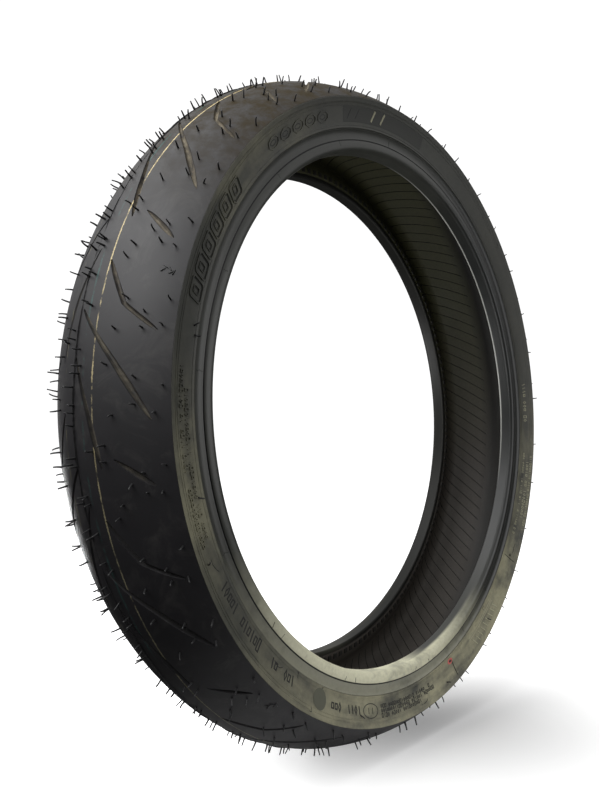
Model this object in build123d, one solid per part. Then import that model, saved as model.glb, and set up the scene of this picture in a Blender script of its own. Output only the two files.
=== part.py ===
from build123d import *
import math
import os

# Tubeless radial tyre for the front wheel of a sport motorcycle, off its rim.
#
# Frame, in millimetres: the origin is the centre of the wheel, +Y is the wheel's axis,
# +Z is up and +X is forward, so left is +Y. Every layer is a ring made by turning its cross
# section about the axis. In a cross section, a point is (radius, axial distance).
# Neighbouring layers share the same line, so they touch and never overlap.

# ---- driving dimensions ------------------------------------------------------------------

# Tread surface: a tight arc over the crown that runs into a wider arc on each flank.
CROWN_RADIUS = 282.0
CENTRE_ARC = 50.0
CENTRE_ARC_ANGLE = 15.0
FLANK_ARC = 115.0
SHOULDER_HALF_WIDTH = 57.5

# Layers under the tread, as thicknesses.
CAP_THICKNESS = 4.0
BASE_THICKNESS = 2.5
BELT_THICKNESS = 2.0
PLY_THICKNESS = 1.0
LINER_THICKNESS = 1.0

# Where the layers end, as an angle along the tread surface.
BASE_END_ANGLE = 36.5
BELT_END_ANGLE = 33.0

# Zero-degree belt: one steel cord wound side by side round the crown.
BELT_CORD = 1.4
BELT_CORD_PITCH = 5.9

# Bend of the carcass plies at the shoulder, measured at the outer face of the outer ply.
SHOULDER_BEND = 17.0

# Bead: seat for a 17 inch rim, heel and toe.
SEAT_RADIUS = 215.9
TOE_HALF_WIDTH = 36.0
TOE_ROUND_HEIGHT = 1.5
HEEL_HALF_WIDTH = 50.5
HEEL_ARC = 4.3

# Outside of the sidewall: the mould parting line, the hollow that the rim flange sits in
# and the rim line above it, each as (radius, axial distance).
PARTING_LINE = (225.3, 49.6)
FLANGE_HOLLOW = (229.2, 49.1)
RIM_LINE = (234.0, 51.1)
SIDEWALL_HOLLOW = 0.5

# Bead bundle: rows and columns of wire in an insulation block, wrapped in tape.
WIRE = 1.3
WIRE_PITCH = 1.5
WIRE_COUNT = 4
INSULATION_MARGIN = 0.9
WRAP_THICKNESS = 0.6
BUNDLE_RADIUS = 222.6
BUNDLE_HALF_WIDTH = 43.0
TURN_UP_TOP = 239.0

# Chafer fabric round the bead and rubber rim strip over it.
CHAFER_THICKNESS = 0.8
CHAFER_INNER_TOP = 223.0
CHAFER_OUTER_TOP = 231.0
RIM_STRIP_INNER_TOP = 220.5

# Tread pattern: four grooves repeat round each half, mirrored and shifted. The pitches are
# unequal, which breaks up the noise of the tread.
LONG_PITCH = 35.2
MIDDLE_PITCH = 33.0
PITCH_COUNT = 11
FIRST_PITCH_ANGLE = 137.2
LEFT_HALF_SHIFT = 19.5

# Each groove as stations of (angle from the start of the pitch, distance from the crown
# line along the surface, half width).
SHORT_GROOVE = ((-14.0, 26.5, 0.8), (-12.2, 41.0, 1.9), (-9.7, 51.5, 1.0))
BENT_GROOVE = ((-6.4, 14.5, 0.9), (-0.8, 30.0, 1.8), (2.6, 53.5, 1.6))
LONG_GROOVE = ((0.0, 1.0, 0.9), (3.8, 16.0, 1.5), (9.4, 38.5, 2.2), (13.2, 51.5, 1.2))
THIN_GROOVE = ((5.2, -2.5, 0.6), (10.0, 5.5, 1.3), (15.5, 13.5, 1.8), (19.7, 18.0, 0.9))
GROOVES = (SHORT_GROOVE, BENT_GROOVE, LONG_GROOVE, THIN_GROOVE)
CUT_CLEARANCE = 6.0

# ---- derived dimensions ------------------------------------------------------------------

BASE_DEPTH = CAP_THICKNESS
BELT_DEPTH = BASE_DEPTH + BASE_THICKNESS
OUTER_PLY_DEPTH = BELT_DEPTH + BELT_THICKNESS
INNER_PLY_DEPTH = OUTER_PLY_DEPTH + PLY_THICKNESS
LINER_DEPTH = INNER_PLY_DEPTH + PLY_THICKNESS
CAVITY_DEPTH = LINER_DEPTH + LINER_THICKNESS

BUNDLE_HALF = (WIRE_PITCH * (WIRE_COUNT - 1)) / 2 + INSULATION_MARGIN
WRAP_HALF = BUNDLE_HALF + WRAP_THICKNESS
LOOP_HALF = WRAP_HALF + PLY_THICKNESS
CHAFER_HALF = LOOP_HALF + CHAFER_THICKNESS
BEAD_TOP = BUNDLE_RADIUS + LOOP_HALF
BEAD_INNER_SIDE = BUNDLE_HALF_WIDTH - LOOP_HALF

CENTRE_OF_CENTRE_ARC = (CROWN_RADIUS - CENTRE_ARC, 0.0)


def step(start, distance, angle):
    """Point at a distance from another, at an angle from the outward radial direction."""
    turn = math.radians(angle)
    return (start[0] + distance * math.cos(turn), start[1] + distance * math.sin(turn))


CENTRE_OF_FLANK_ARC = step(
    step(CENTRE_OF_CENTRE_ARC, CENTRE_ARC, CENTRE_ARC_ANGLE), -FLANK_ARC, CENTRE_ARC_ANGLE
)
SHOULDER_ANGLE = math.degrees(
    math.asin((SHOULDER_HALF_WIDTH - CENTRE_OF_FLANK_ARC[1]) / FLANK_ARC)
)


def crown(depth, angle):
    """Point under the tread surface; a negative angle is on the other side of the crown."""
    side = math.copysign(1.0, angle)
    if abs(angle) <= CENTRE_ARC_ANGLE:
        point = step(CENTRE_OF_CENTRE_ARC, CENTRE_ARC - depth, abs(angle))
    else:
        point = step(CENTRE_OF_FLANK_ARC, FLANK_ARC - depth, abs(angle))
    return (point[0], point[1] * side)


SHOULDER_CENTRE = step(crown(OUTER_PLY_DEPTH, BELT_END_ANGLE), -SHOULDER_BEND, BELT_END_ANGLE)


def ply_bend(depth):
    """Radius of the shoulder bend at a depth."""
    return SHOULDER_BEND - (depth - OUTER_PLY_DEPTH)


# The straight run from the shoulder bend to the bead is tangent to the bend, and its inner
# ply meets the inner side of the bead.
TO_BEAD = (BEAD_TOP - SHOULDER_CENTRE[0], BEAD_INNER_SIDE - SHOULDER_CENTRE[1])
BEND_END_ANGLE = math.degrees(
    math.atan2(TO_BEAD[1], TO_BEAD[0]) - math.acos(ply_bend(LINER_DEPTH) / math.hypot(*TO_BEAD))
)

# ---- cross sections ----------------------------------------------------------------------


def mirrored(points):
    """The same points on the other side of the crown line."""
    return [(radius, -axial) for radius, axial in points]


def arc(curve, start, stop):
    """Arc along a curve given as a function of angle."""
    return ThreePointArc(curve(start), curve((start + stop) / 2), curve(stop))


def crown_arcs(depth, end):
    """Lines of the tread shape at a depth, from one side to the other."""
    stops = (-end, -CENTRE_ARC_ANGLE, CENTRE_ARC_ANGLE, end)
    return [
        arc(lambda angle: crown(depth, angle), start, stop)
        for start, stop in zip(stops, stops[1:])
    ]


def crown_band(outer_depth, inner_depth, end):
    """Layer of the tread between two depths."""
    ends = [
        Line(crown(outer_depth, side * end), crown(inner_depth, side * end)) for side in (-1, 1)
    ]
    return make_face(crown_arcs(outer_depth, end) + crown_arcs(inner_depth, end) + ends)


def ply_arc(depth, side):
    """Shoulder bend of a ply on one side."""

    def curve(angle):
        point = step(SHOULDER_CENTRE, ply_bend(depth), angle)
        return (point[0], side * point[1])

    return arc(curve, BELT_END_ANGLE, BEND_END_ANGLE)


def bead_end(depth):
    """Where the straight run at a depth reaches the top of the bead."""
    start = step(SHOULDER_CENTRE, ply_bend(depth), BEND_END_ANGLE)
    fall = start[0] - BEAD_TOP
    return (BEAD_TOP, start[1] - fall / math.tan(math.radians(180 - BEND_END_ANGLE)))


def inside(depth):
    """Everything on the air side of the carcass line at a depth, above the beads."""
    edges = crown_arcs(depth, BELT_END_ANGLE)
    for side in (-1, 1):
        start = step(SHOULDER_CENTRE, ply_bend(depth), BEND_END_ANGLE)
        end = bead_end(depth)
        edges.append(ply_arc(depth, side))
        edges.append(Line((start[0], side * start[1]), (end[0], side * end[1])))
    end = bead_end(depth)
    edges.append(Line(end, (end[0], -end[1])))
    return make_face(edges)


def block(low_radius, high_radius, low_axial, high_axial):
    """Rectangle in the cross section."""
    centre = Pos((low_radius + high_radius) / 2, (low_axial + high_axial) / 2)
    return centre * Rectangle(high_radius - low_radius, high_axial - low_axial)


def bead_block(half):
    """Square round the bead bundle."""
    return Pos(BUNDLE_RADIUS, BUNDLE_HALF_WIDTH) * Rectangle(2 * half, 2 * half)


def bead_channel(outer_half, inner_half, inner_top, outer_top):
    """Strip folded round the bead: up the inner side, under the bundle and up the outside."""
    bottom = BUNDLE_RADIUS - outer_half
    middle = BUNDLE_HALF_WIDTH
    inner_leg = block(bottom, inner_top, middle - outer_half, middle - inner_half)
    outer_leg = block(bottom, outer_top, middle + inner_half, middle + outer_half)
    floor = block(bottom, BUNDLE_RADIUS - inner_half, middle - outer_half, middle + outer_half)
    return inner_leg + outer_leg + floor


def flank_outline(side):
    """Outline of one side of the tyre, from the shoulder edge to the cavity."""
    shoulder = crown(0, SHOULDER_ANGLE)
    heel_top = (SEAT_RADIUS + HEEL_ARC, HEEL_HALF_WIDTH)
    heel_foot = (SEAT_RADIUS, HEEL_HALF_WIDTH - HEEL_ARC)
    heel_middle = step((heel_top[0], heel_foot[1]), -HEEL_ARC, -45)
    toe = (SEAT_RADIUS, TOE_HALF_WIDTH + TOE_ROUND_HEIGHT / 2)
    toe_top = (SEAT_RADIUS + TOE_ROUND_HEIGHT, TOE_HALF_WIDTH)
    middle = (
        (shoulder[0] + RIM_LINE[0]) / 2,
        (shoulder[1] + RIM_LINE[1]) / 2 - SIDEWALL_HOLLOW,
    )
    points = [
        [shoulder, middle, RIM_LINE],
        [RIM_LINE, FLANGE_HOLLOW, PARTING_LINE],
        [PARTING_LINE, heel_top],
        [heel_top, heel_middle, heel_foot],
        [heel_foot, toe],
        [toe, toe_top],
        [toe_top, bead_end(CAVITY_DEPTH)],
    ]
    edges = []
    for stretch in points:
        placed = stretch if side > 0 else mirrored(stretch)
        edges.append(ThreePointArc(*placed) if len(placed) == 3 else Line(*placed))
    return edges


def whole_section():
    """Full cross section of the tyre, without the cavity."""
    edges = crown_arcs(0, SHOULDER_ANGLE) + crown_arcs(CAVITY_DEPTH, BELT_END_ANGLE)
    for side in (-1, 1):
        start = step(SHOULDER_CENTRE, ply_bend(CAVITY_DEPTH), BEND_END_ANGLE)
        end = bead_end(CAVITY_DEPTH)
        edges.append(ply_arc(CAVITY_DEPTH, side))
        edges.append(Line((start[0], side * start[1]), (end[0], side * end[1])))
        edges += flank_outline(side)
    return make_face(edges)


def both_sides(face):
    """A shape of the left bead together with its mirror image."""
    return face + mirror(face, about=Plane.XZ)


def surface_angle(distance):
    """Angle along the tread surface at a distance from the crown line."""
    over_centre = CENTRE_ARC * math.radians(CENTRE_ARC_ANGLE)
    if distance <= over_centre:
        return math.degrees(distance / CENTRE_ARC)
    return CENTRE_ARC_ANGLE + math.degrees((distance - over_centre) / FLANK_ARC)


# ---- layers ------------------------------------------------------------------------------

section = whole_section()

cap_face = crown_band(0, BASE_DEPTH, SHOULDER_ANGLE)
base_face = crown_band(BASE_DEPTH, BELT_DEPTH, BASE_END_ANGLE)
belt_face = crown_band(BELT_DEPTH, OUTER_PLY_DEPTH, BELT_END_ANGLE)

# Turns of the belt cord, evenly spaced along the middle of the belt.
cord_depth = BELT_DEPTH + BELT_THICKNESS / 2
cord_places = []
for turn in range(int(SHOULDER_HALF_WIDTH / BELT_CORD_PITCH)):
    angle = surface_angle((turn + 0.5) * BELT_CORD_PITCH)
    if angle < BELT_END_ANGLE - 1:
        cord_places += [crown(cord_depth, angle), crown(cord_depth, -angle)]
cord_face = [Pos(*place) * Circle(BELT_CORD / 2) for place in cord_places]
belt_skim_face = belt_face - cord_face

# Bead bundles: wires, insulation and wrap.
offsets = [(index - (WIRE_COUNT - 1) / 2) * WIRE_PITCH for index in range(WIRE_COUNT)]
wire_faces = [
    Pos(BUNDLE_RADIUS + up, BUNDLE_HALF_WIDTH + across) * Circle(WIRE / 2)
    for up in offsets
    for across in offsets
]
insulation_face = bead_block(BUNDLE_HALF) - wire_faces
wrap_face = bead_block(WRAP_HALF) - bead_block(BUNDLE_HALF)

# Plies: the outer ply stops on the bead, the inner ply turns up round it.
outer_ply_face = inside(OUTER_PLY_DEPTH) - inside(INNER_PLY_DEPTH)
turn_up = bead_channel(LOOP_HALF, WRAP_HALF, BEAD_TOP, TURN_UP_TOP) - inside(OUTER_PLY_DEPTH)
inner_ply_face = (inside(INNER_PLY_DEPTH) - inside(LINER_DEPTH)) + both_sides(turn_up)

# Apex: filler between the plies and the turn-up, standing on the bead.
apex_face = (
    block(BUNDLE_RADIUS + WRAP_HALF, TURN_UP_TOP, BEAD_INNER_SIDE, BUNDLE_HALF_WIDTH + WRAP_HALF)
    - inside(OUTER_PLY_DEPTH)
    - turn_up
)

# Outer and inner coverings: what is left of the cross section.
chafer_face = bead_channel(CHAFER_HALF, LOOP_HALF, CHAFER_INNER_TOP, CHAFER_OUTER_TOP)
bead_core = bead_block(WRAP_HALF) + apex_face
covering = section - cap_face - base_face - belt_face
covering = covering - outer_ply_face - inner_ply_face - both_sides(bead_core + chafer_face)

rim_strip_zone = (
    block(SEAT_RADIUS - 1, RIM_LINE[0], BUNDLE_HALF_WIDTH, 2 * HEEL_HALF_WIDTH)
    + block(SEAT_RADIUS - 1, RIM_STRIP_INNER_TOP, 0, 2 * HEEL_HALF_WIDTH)
)
sidewall_zone = block(RIM_LINE[0], CROWN_RADIUS, 0, 2 * HEEL_HALF_WIDTH) - inside(OUTER_PLY_DEPTH)
rim_strip_face = max((covering & rim_strip_zone).faces(), key=lambda face: face.area)
sidewall_face = covering & sidewall_zone
liner_face = covering - both_sides(rim_strip_zone) - both_sides(sidewall_zone)

# ---- tread grooves -----------------------------------------------------------------------


def tread_point(angle, distance, side):
    """Point on the tread surface, from its angle round the wheel and distance sideways."""
    along = surface_angle(abs(distance))
    radius, axial = crown(0, along)
    axial *= side * math.copysign(1.0, distance)
    turn = math.radians(angle)
    return Vector(radius * math.cos(turn), axial, radius * math.sin(turn))


def groove_cutter(stations, start, side):
    """Prism that cuts one groove through the tread cap, square to the surface."""
    per_degree = CROWN_RADIUS * math.radians(1)
    left, right = [], []
    for index, (angle, distance, half_width) in enumerate(stations):
        before = stations[max(index - 1, 0)]
        after = stations[min(index + 1, len(stations) - 1)]
        run = (after[0] - before[0]) * per_degree
        rise = after[1] - before[1]
        length = math.hypot(run, rise)
        shift = (-rise / length * half_width, run / length * half_width)
        for edge, sign in ((left, 1), (right, -1)):
            edge.append(
                tread_point(
                    start + angle + sign * shift[0] / per_degree, distance + sign * shift[1], side
                )
            )
    middle_angle = start + (stations[0][0] + stations[-1][0]) / 2
    middle_distance = (stations[0][1] + stations[-1][1]) / 2
    origin = tread_point(middle_angle, middle_distance, side)
    beside = tread_point(middle_angle + 1, middle_distance, side)
    outward_angle = math.radians(surface_angle(abs(middle_distance)))
    turn = math.radians(middle_angle)
    outward = Vector(
        math.cos(outward_angle) * math.cos(turn),
        math.sin(outward_angle) * side,
        math.cos(outward_angle) * math.sin(turn),
    )
    plane = Plane(origin=origin, x_dir=beside - origin, z_dir=outward)
    outline = []
    for point in left + right[::-1]:
        flat = plane.to_local_coords(point)
        outline.append((flat.X, flat.Y))
    return extrude(plane * make_face(Polyline(*outline, close=True)), CUT_CLEARANCE, both=True)


short_pitch = (360 - LONG_PITCH - 2 * MIDDLE_PITCH) / (PITCH_COUNT - 3)
pitches = [MIDDLE_PITCH, MIDDLE_PITCH, LONG_PITCH] + [short_pitch] * (PITCH_COUNT - 3)

cutters = []
for side, shift in ((-1, 0.0), (1, LEFT_HALF_SHIFT)):
    start = FIRST_PITCH_ANGLE + shift
    for pitch in pitches:
        cutters += [groove_cutter(groove, start, side) for groove in GROOVES]
        start += pitch

# ---- pieces ------------------------------------------------------------------------------


def ring(faces):
    """Solid ring, or rings, made by turning a cross section about the axis."""
    solids = []
    for face in faces if isinstance(faces, list) else [faces]:
        solids += [revolve(part, Axis.Y, 360).solid() for part in face.faces()]
    return solids[0] if len(solids) == 1 else Compound(solids)


def opposite(piece):
    """The same piece on the right side of the wheel."""
    return mirror(piece, about=Plane.XZ)


pieces = {
    "tread_cap": ring(cap_face) - cutters,
    "tread_base": ring(base_face),
    "belt_skim": ring(belt_skim_face),
    "belt_cord": ring(cord_face),
    "carcass_ply_outer": ring(outer_ply_face),
    "carcass_ply_inner": ring(inner_ply_face),
    "inner_liner": ring(liner_face),
}
paired = {
    "sidewall": ring(sidewall_face),
    "rim_strip": ring(rim_strip_face),
    "chafer": ring(chafer_face),
    "bead_apex": ring(apex_face),
    "bead_wrap": ring(wrap_face),
    "bead_insulation": ring(insulation_face),
    "bead_wires": ring(wire_faces),
}
for name, piece in paired.items():
    pieces[name + "_left"] = piece
    pieces[name + "_right"] = opposite(piece)

os.makedirs("parts", exist_ok=True)
for name, piece in pieces.items():
    export_step(piece, "parts/" + name + ".step")
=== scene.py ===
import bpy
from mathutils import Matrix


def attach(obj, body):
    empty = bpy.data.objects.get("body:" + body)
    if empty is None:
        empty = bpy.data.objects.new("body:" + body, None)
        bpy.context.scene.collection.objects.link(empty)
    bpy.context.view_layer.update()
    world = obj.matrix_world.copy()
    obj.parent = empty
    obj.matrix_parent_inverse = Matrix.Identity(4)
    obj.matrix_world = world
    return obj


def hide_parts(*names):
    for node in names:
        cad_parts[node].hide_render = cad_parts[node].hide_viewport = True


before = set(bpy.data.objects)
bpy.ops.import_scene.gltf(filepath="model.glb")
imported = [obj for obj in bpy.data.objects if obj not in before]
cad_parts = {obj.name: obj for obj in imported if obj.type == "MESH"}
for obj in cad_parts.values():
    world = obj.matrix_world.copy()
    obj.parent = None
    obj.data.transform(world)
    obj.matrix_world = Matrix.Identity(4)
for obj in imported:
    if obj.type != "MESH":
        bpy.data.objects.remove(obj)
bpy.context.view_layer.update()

import math
import random

import bmesh
import bpy
from mathutils import Vector

# ---- Camera ---------------------------------------------------------------------------------
# It stands close behind the tyre and to its right, just under the height of the wheel's centre,
# so that the tread, the right sidewall and the inside of the left half all show.

CAMERA_DISTANCE = 0.680
CAMERA_TURN = math.radians(-53.2)
CAMERA_RISE = math.radians(-3.7)

view_from = Vector((
    math.sin(CAMERA_TURN) * math.cos(CAMERA_RISE),
    -math.cos(CAMERA_TURN) * math.cos(CAMERA_RISE),
    math.sin(CAMERA_RISE),
))
camera_data = bpy.data.cameras.new("camera")
camera_data.sensor_fit = "VERTICAL"
camera_data.sensor_height = 36
camera_data.lens = 34.0
camera_data.shift_x = -0.0704
camera_data.shift_y = 0.0153
camera = bpy.data.objects.new("camera", camera_data)
camera.location = view_from * CAMERA_DISTANCE
camera.rotation_euler = view_from.to_track_quat("Z", "Y").to_euler()
bpy.context.scene.collection.objects.link(camera)
bpy.context.scene.camera = camera
bpy.context.scene.view_settings.view_transform = "Standard"


# ---- Studio floor and light -----------------------------------------------------------------
# A plain white paper sweep under a big soft light overhead, behind and to the left. The room is
# white to the eye but dim low down, so the underside of the tyre falls into shade.

def linear(code):
    """An sRGB hex colour as linear red, green, blue and alpha."""
    channels = [int(code[i:i + 2], 16) / 255 for i in (1, 3, 5)]
    return [c / 12.92 if c <= 0.04045 else ((c + 0.055) / 1.055) ** 2.4 for c in channels] + [1.0]


def add(tree, kind, settings=None, inputs=None):
    """A shader node with its settings, and its inputs as values or as links."""
    made = tree.nodes.new("ShaderNode" + kind)
    for name, value in (settings or {}).items():
        setattr(made, name, value)
    for name, value in (inputs or {}).items():
        if isinstance(value, bpy.types.NodeSocket):
            tree.links.new(value, made.inputs[name])
        else:
            made.inputs[name].default_value = value
    return made


def blank_material(name):
    """A new material with no nodes but its output."""
    made = bpy.data.materials.new(name)
    made.use_nodes = True
    made.node_tree.nodes.clear()
    return made, made.node_tree, made.node_tree.nodes.new("ShaderNodeOutputMaterial")


FLOOR_SIZE = 12.0

# The tyre stands on its crown line, 282 mm below the wheel's centre.
floor_low = -0.2820
floor_mesh = bpy.data.meshes.new("floor")
floor_mesh.from_pydata(
    [(x * FLOOR_SIZE, y * FLOOR_SIZE, floor_low) for x, y in ((-1, -1), (1, -1), (1, 1), (-1, 1))],
    [], [(0, 1, 2, 3)],
)
floor = bpy.data.objects.new("floor", floor_mesh)
bpy.context.scene.collection.objects.link(floor)

# Matt white paper, lit so evenly that it shows no texture: it glows to the eye, but for the soft
# shade round the tyre's foot. To the tyre it is pale only near the foot, so that little light
# comes up from further off.
sweep, tree, output = blank_material("white_paper_sweep")
seen = add(tree, "LightPath").outputs["Is Camera Ray"]
white = add(tree, "BsdfDiffuse", inputs={"Color": linear("#dcdcdc")})
floor_point = add(tree, "TexCoord").outputs["Object"]
away = add(tree, "VectorMath", {"operation": "DISTANCE"}, {
    0: floor_point, 1: (0.075, -0.080, floor_low),
}).outputs["Value"]
lift = add(tree, "MapRange", {"interpolation_type": "SMOOTHSTEP"}, {
    "Value": away, "From Min": 0.0, "From Max": 0.30, "To Min": 0.12, "To Max": 0.92,
}).outputs[0]
glow = add(tree, "Emission", inputs={"Color": (1, 1, 1, 1), "Strength": lift})
bright = add(tree, "AddShader", inputs={0: white.outputs[0], 1: glow.outputs[0]})
under = add(tree, "VectorMath", {"operation": "DISTANCE"}, {
    0: floor_point, 1: (0.0, -0.11, floor_low),
}).outputs["Value"]
bounce = add(tree, "MapRange", {"interpolation_type": "SMOOTHSTEP"}, {
    "Value": under, "From Min": 0.08, "From Max": 0.30, "To Min": 0.75, "To Max": 0.02,
}).outputs[0]
dim = add(tree, "BsdfDiffuse", inputs={
    "Color": add(tree, "CombineColor", inputs={0: bounce, 1: bounce, 2: bounce}).outputs[0],
})
mixed = add(tree, "MixShader", inputs={0: seen, 1: dim.outputs[0], 2: bright.outputs[0]})
tree.links.new(mixed.outputs[0], output.inputs[0])
floor_mesh.materials.append(sweep)

world = bpy.data.worlds.new("studio")
bpy.context.scene.world = world
world.use_nodes = True
tree = world.node_tree
tree.nodes.clear()
output = tree.nodes.new("ShaderNodeOutputWorld")
up = add(tree, "SeparateXYZ", inputs={0: add(tree, "TexCoord").outputs["Generated"]}).outputs[2]
ramp = add(tree, "MapRange", {"interpolation_type": "SMOOTHSTEP"}, {
    "Value": up, "From Min": 0.0, "From Max": 0.43, "To Min": 0.02, "To Max": 0.62,
}).outputs[0]
seen = add(tree, "LightPath").outputs["Is Camera Ray"]
strength = add(tree, "Mix", inputs={0: seen, 2: ramp, 3: 1.1}).outputs[0]
shine = add(tree, "Background", inputs={"Color": (1, 1, 1, 1), "Strength": strength})
tree.links.new(shine.outputs[0], output.inputs[0])


def soft_light(name, place, size, power, aim=(0, 0, 0)):
    """A square soft box at a place, turned to the middle of the tyre or to another point."""
    data = bpy.data.lights.new(name, "AREA")
    data.size = size
    data.energy = power
    lamp = bpy.data.objects.new(name, data)
    lamp.location = place
    lamp.visible_camera = False
    lamp.rotation_euler = (Vector(place) - Vector(aim)).to_track_quat("Z", "Y").to_euler()
    bpy.context.scene.collection.objects.link(lamp)


soft_light("key_light", (-0.75, 0.40, 1.10), 1.5, 14)
soft_light("side_light", (-1.15, -0.05, 0.75), 0.7, 6)
soft_light("front_light", (0.50, -1.20, 0.10), 0.8, 3.4)
soft_light("fill_light", (-0.12, 0.34, -0.12), 0.12, 0.85)
soft_light("back_light", (0.20, 0.95, -0.15), 0.6, 1.0)
soft_light("inside_light", (-0.05, -0.08, -0.06), 0.15, 0.18, (0.12, 0.03, 0.22))


# ---- Hidden layers --------------------------------------------------------------------------
# Tread base, belt, plies, apexes, wraps and bead bundles: calendered rubber, brass-coated steel
# wire and rubber-coated cord, cured together inside the tyre. They keep their CAD shapes.

def wheel_angle(tree, point):
    """Angle round the wheel of a point, as a socket in radians."""
    axes = add(tree, "SeparateXYZ", inputs={0: point}).outputs
    return add(tree, "Math", {"operation": "ARCTAN2"}, {0: axes[2], 1: axes[0]}).outputs[0]


def wheel_radius(tree, point):
    """Distance of a point from the wheel's axis, as a socket in metres."""
    axes = add(tree, "SeparateXYZ", inputs={0: point}).outputs
    flat = add(tree, "CombineXYZ", inputs={0: axes[0], 1: axes[2]}).outputs[0]
    return add(tree, "VectorMath", {"operation": "LENGTH"}, {0: flat}).outputs["Value"]


def cells(patch_mm):
    """Scale of a noise pattern, from the size of one of its patches in mm."""
    return 1000 / patch_mm


def compound_material(name, dark, light, rough, grain_mm, grain_depth):
    """Rubber compound: two close shades mixed by a cloudy pattern, with a fine moulded grain."""
    made, tree, output = blank_material(name)
    point = add(tree, "TexCoord").outputs["Object"]
    cloud = add(tree, "TexNoise", inputs={"Vector": point, "Scale": cells(28.6), "Detail": 6.0}).outputs[0]
    # The real grain is about 0.1 mm, too fine to show, so grain_mm is several times as coarse.
    grain = add(tree, "TexNoise", inputs={
        "Vector": point, "Scale": cells(grain_mm), "Detail": 3.0,
    }).outputs[0]
    colour = add(tree, "MixRGB", inputs={0: cloud, 1: linear(dark), 2: linear(light)}).outputs[0]
    bump = add(tree, "Bump", inputs={
        "Strength": 0.5, "Distance": grain_depth / 1000, "Height": grain,
    }).outputs[0]
    uneven = add(tree, "MapRange", inputs={
        "Value": cloud, "To Min": rough - 0.06, "To Max": rough + 0.06,
    }).outputs[0]
    shader = add(tree, "BsdfPrincipled", inputs={
        "Base Color": colour, "Roughness": uneven, "Normal": bump,
        "IOR": 1.5, "Specular IOR Level": 0.5,
    })
    tree.links.new(shader.outputs[0], output.inputs[0])
    return made


def cord_fabric_material(name, dark, light, threads_per_turn):
    """Rubberised cord fabric: threads laid side by side across the wheel, seen as fine ribs."""
    made, tree, output = blank_material(name)
    point = add(tree, "TexCoord").outputs["Object"]
    turn = wheel_angle(tree, point)
    wave = add(tree, "Math", {"operation": "SINE"}, {
        0: add(tree, "Math", {"operation": "MULTIPLY"}, {0: turn, 1: threads_per_turn}).outputs[0],
    }).outputs[0]
    rib = add(tree, "MapRange", inputs={"Value": wave, "From Min": -1.0}).outputs[0]
    cloud = add(tree, "TexNoise", inputs={"Vector": point, "Scale": cells(16.7), "Detail": 4.0}).outputs[0]
    shade = add(tree, "Math", {"operation": "MULTIPLY"}, {0: rib, 1: cloud}).outputs[0]
    colour = add(tree, "MixRGB", inputs={0: shade, 1: linear(dark), 2: linear(light)}).outputs[0]
    bump = add(tree, "Bump", inputs={"Strength": 0.6, "Distance": 0.0003, "Height": rib}).outputs[0]
    shader = add(tree, "BsdfPrincipled", inputs={
        "Base Color": colour, "Roughness": 0.7, "Normal": bump,
    })
    tree.links.new(shader.outputs[0], output.inputs[0])
    return made


def coated_wire_material(name, dark, light):
    """Drawn steel wire with a thin brass coat: fine scratches run along the wire."""
    made, tree, output = blank_material(name)
    point = add(tree, "TexCoord").outputs["Object"]
    stretched = add(tree, "CombineXYZ", inputs={
        0: wheel_radius(tree, point),
        1: add(tree, "SeparateXYZ", inputs={0: point}).outputs[1],
        2: add(tree, "Math", {"operation": "MULTIPLY"}, {0: wheel_angle(tree, point), 1: 0.01}).outputs[0],
    }).outputs[0]
    # Drawing scratches are hundredths of a millimetre wide, too fine to show: these are 0.17 mm.
    streak = add(tree, "TexNoise", inputs={"Vector": stretched, "Scale": cells(0.167)}).outputs[0]
    colour = add(tree, "MixRGB", inputs={0: streak, 1: linear(dark), 2: linear(light)}).outputs[0]
    rough = add(tree, "MapRange", inputs={"Value": streak, "To Min": 0.28, "To Max": 0.45}).outputs[0]
    shader = add(tree, "BsdfPrincipled", inputs={
        "Base Color": colour, "Roughness": rough, "Metallic": 1.0,
    })
    tree.links.new(shader.outputs[0], output.inputs[0])
    return made


# Rubber sheet off a calender is dull and even, with the faint cloud of its mixing.
base_rubber = compound_material("calendered_base_rubber", "#1c1b1a", "#2a2826", 0.62, 0.6, 0.04)
# The belt's skim coat is rolled on the same way: a browner, slightly shinier sheet.
skim_rubber = compound_material("calendered_belt_skim_rubber", "#25221f", "#353029", 0.60, 0.5, 0.04)
# Hard extruded filler: darker and smoother than the sheets, with a soft gleam.
apex_rubber = compound_material("hard_apex_rubber", "#161616", "#222222", 0.50, 0.5, 0.03)
# Gum squeezed round the bead wires: the darkest and plainest of the hidden rubbers.
insulation_rubber = compound_material("bead_insulation_rubber", "#151515", "#1f1f1f", 0.55, 0.5, 0.03)
# Brown rayon cords in thin rubber, 0.94 mm apart round the ply: a dull, finely ribbed cloth.
ply_cord = cord_fabric_material("rayon_ply_cord", "#1c1714", "#4a3e33", 1800)
# Square woven cloth in rubber, its threads 1.1 mm apart round the bead: dull ribs, nearly black.
chafer_cloth = cord_fabric_material("square_woven_chafer", "#1b1917", "#3a352f", 1300)
# Brass-coated steel: a yellow metal with fine bright streaks along the wire.
belt_wire = coated_wire_material("brass_coated_belt_cord", "#8f7a4a", "#c9ad70")
# Bronze-coated steel: the same streaks on a duller, darker metal.
bead_wire = coated_wire_material("bronze_coated_bead_wire", "#7d6a45", "#b99a64")

for finish, names in (
    (base_rubber, ("tread_base",)),
    (skim_rubber, ("belt_skim",)),
    (apex_rubber, ("bead_apex_left", "bead_apex_right")),
    (insulation_rubber, ("bead_insulation_left", "bead_insulation_right")),
    (ply_cord, ("carcass_ply_outer", "carcass_ply_inner")),
    (chafer_cloth, ("chafer_left", "chafer_right", "bead_wrap_left", "bead_wrap_right")),
    (belt_wire, ("belt_cord",)),
    (bead_wire, ("bead_wires_left", "bead_wires_right")),
):
    for name in names:
        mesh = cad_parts[name].data
        mesh.materials.clear()
        mesh.materials.append(finish)


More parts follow.
